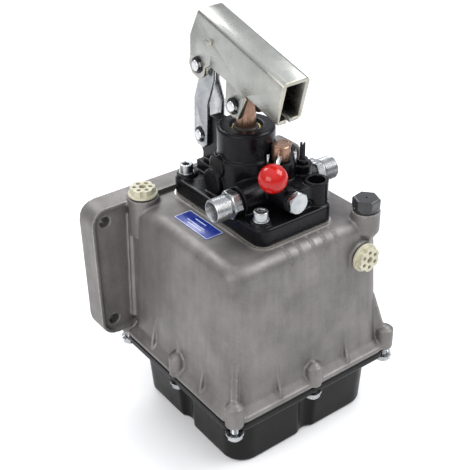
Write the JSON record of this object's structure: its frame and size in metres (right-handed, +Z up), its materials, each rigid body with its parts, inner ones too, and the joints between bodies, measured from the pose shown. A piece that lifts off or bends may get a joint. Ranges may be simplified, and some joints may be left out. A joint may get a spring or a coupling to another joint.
{
  "type": "hydraulic hand pump",
  "caption": "Hand pump with a cast oil reservoir and wall plate, black pump head, piston rod, link and lever socket, ports on both sides and a red release knob.",
  "frame": {"origin": "centre of the flat underside of the lower pan", "axes": "+Z up along the piston rod, +Y towards the wall plate at the back, -Y towards the front where the lever socket opens, +X to the right seen from the front"},
  "size_m": [0.252, 0.2033, 0.3935],
  "materials": {
    "cast_aluminium": "bead-blasted cast aluminium, bright on rubbed edges",
    "pan_black": "black paint, satin",
    "body_black": "black paint over a casting, semi-gloss",
    "zinc": "zinc plated, satin",
    "zinc_yellow": "zinc plated with a yellow tinge, satin",
    "bronze": "brown bronze-coloured turned steel",
    "brass": "turned brass",
    "chrome": "chrome plated",
    "knob_red": "glossy moulded plastic",
    "black_oxide": "black oxide steel",
    "steel": "plain steel",
    "cast_iron": "machined grey iron",
    "rubber": "nitrile rubber, matte",
    "gasket": "fibre gasket, matte",
    "plug_cream": "moulded plastic, cream",
    "cap_black": "moulded plastic, black",
    "label_blue": "printed foil, blue, no lettering",
    "strainer_mesh": "woven wire"
  },
  "bodies": {
    "root": {"tank": "cast_aluminium", "lower_pan": "pan_black", "pan_gasket": "gasket", "pan_washers": "zinc", "pan_screws": "zinc", "body_gasket": "gasket", "pump_body": "body_black", "rod_gland": "brass", "rod_wiper": "rubber", "left_port_adapter": "zinc", "right_port_adapter": "zinc", "port_seal_rings": "rubber", "stop_pins": "steel", "delivery_spring": "steel", "delivery_plug": "bronze", "relief_spring": "steel", "relief_adjuster": "black_oxide", "relief_locknut": "black_oxide", "suction_spring": "steel", "suction_plug": "zinc", "suction_plug_seal": "rubber", "set_screw": "black_oxide", "suction_tube": "steel", "suction_strainer": "strainer_mesh", "body_washers": "zinc", "body_bolts": "zinc", "filler_plug": "plug_cream", "filler_seal": "rubber", "level_plug": "plug_cream", "level_seal": "rubber", "nameplate": "label_blue"},
    "rod": {"piston_rod": "bronze", "piston": "cast_iron", "piston_seal": "rubber", "piston_nut": "zinc"},
    "lever": {"lever_socket": "zinc_yellow", "rod_pin": "steel", "rod_pin_circlips": "black_oxide"},
    "links": {"link_left": "zinc", "link_right": "zinc", "link_spacers": "steel", "upper_link_pin": "steel", "lower_link_pin": "steel", "link_circlips": "black_oxide"},
    "release": {"release_spool": "bronze", "release_seal": "rubber", "release_rod": "chrome", "release_knob": "knob_red"},
    "breather_ring": {"breather_seal": "rubber"},
    "breather": {"breather_cap": "cap_black"},
    "suction_valve": {"suction_ball": "steel"},
    "delivery_valve": {"delivery_ball": "steel"},
    "relief_valve": {"relief_ball": "steel"}
  },
  "joints": [
    {"name": "rod_slide", "type": "slide", "parent": "root", "child": "rod", "axis": [0, 0, 1], "range_m": [0, 0.0437]},
    {"name": "lever_tilt", "type": "hinge", "parent": "rod", "child": "lever", "pos_m": [0, 0.01, 0.3188], "axis": [-1, 0, 0], "range_deg": [0, 45]},
    {"name": "link_swing", "type": "hinge", "parent": "lever", "child": "links", "pos_m": [0, 0.0627, 0.34049], "axis": [-1, 0, 0], "range_deg": [-43, 0]},
    {"name": "release_turn", "type": "hinge", "parent": "root", "child": "release", "pos_m": [0.0135, -0.0225, 0.2718], "axis": [0, 0, 1], "range_deg": [-38, 80]},
    {"name": "breather_lift", "type": "slide", "parent": "root", "child": "breather_ring", "axis": [0, 0, 1], "range_m": [0, 0.006]},
    {"name": "breather_turn", "type": "hinge", "parent": "breather_ring", "child": "breather", "pos_m": [0.069, -0.076, 0.225], "axis": [0, 0, 1], "range_deg": [0, 1445]},
    {"name": "suction_lift", "type": "slide", "parent": "root", "child": "suction_valve", "axis": [0, -1, 0], "range_m": [0, 0.002], "stiffness_N_per_m": 500, "springref_m": -0.002, "deforming": ["suction_spring"]},
    {"name": "delivery_lift", "type": "slide", "parent": "root", "child": "delivery_valve", "axis": [0, 0, 1], "range_m": [0, 0.002], "stiffness_N_per_m": 500, "springref_m": -0.002, "deforming": ["delivery_spring"]},
    {"name": "relief_lift", "type": "slide", "parent": "root", "child": "relief_valve", "axis": [0, 0, 1], "range_m": [0, 0.002], "stiffness_N_per_m": 500, "springref_m": -0.002, "deforming": ["relief_spring"]}
  ],
  "couplings": [
    {"joint": "rod_slide", "follows": "lever_tilt", "m_per_rad": 0.055521},
    {"joint": "link_swing", "follows": "lever_tilt", "ratio": -0.94889},
    {"joint": "breather_turn", "follows": "breather_lift", "rad_per_m": 4188.8}
  ]
}
